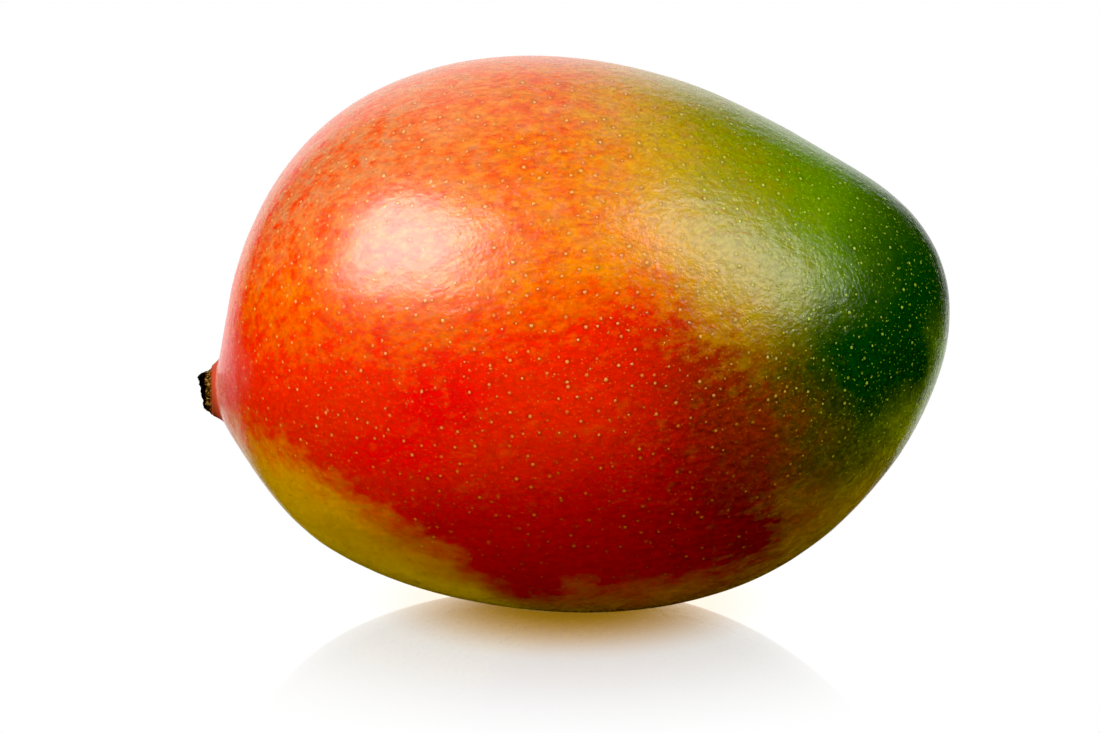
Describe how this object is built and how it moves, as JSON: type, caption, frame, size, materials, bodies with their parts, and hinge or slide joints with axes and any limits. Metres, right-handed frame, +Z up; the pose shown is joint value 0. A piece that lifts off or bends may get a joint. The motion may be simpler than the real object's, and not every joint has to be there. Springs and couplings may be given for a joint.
{
  "type": "mango",
  "caption": "Ripe mango lying on its side, blushed red and orange with a green beak end, and the short dry stub of its stalk.",
  "frame": {"origin": "middle of the small flat spot that the fruit rests on", "axes": "+Z up; +X along the length of the fruit, from the stalk to the beak; +Y from cheek to cheek, with -Y the front"},
  "size_m": [0.1266, 0.0854, 0.092],
  "materials": {
    "skin": "smooth waxy fruit skin, semi-gloss, shading from red and orange to green, with pale pores",
    "stalk": "dry rough bark with a blackened cut end"
  },
  "bodies": {
    "root": {"fruit": "skin", "stalk_stub": "stalk"}
  },
  "joints": []
}
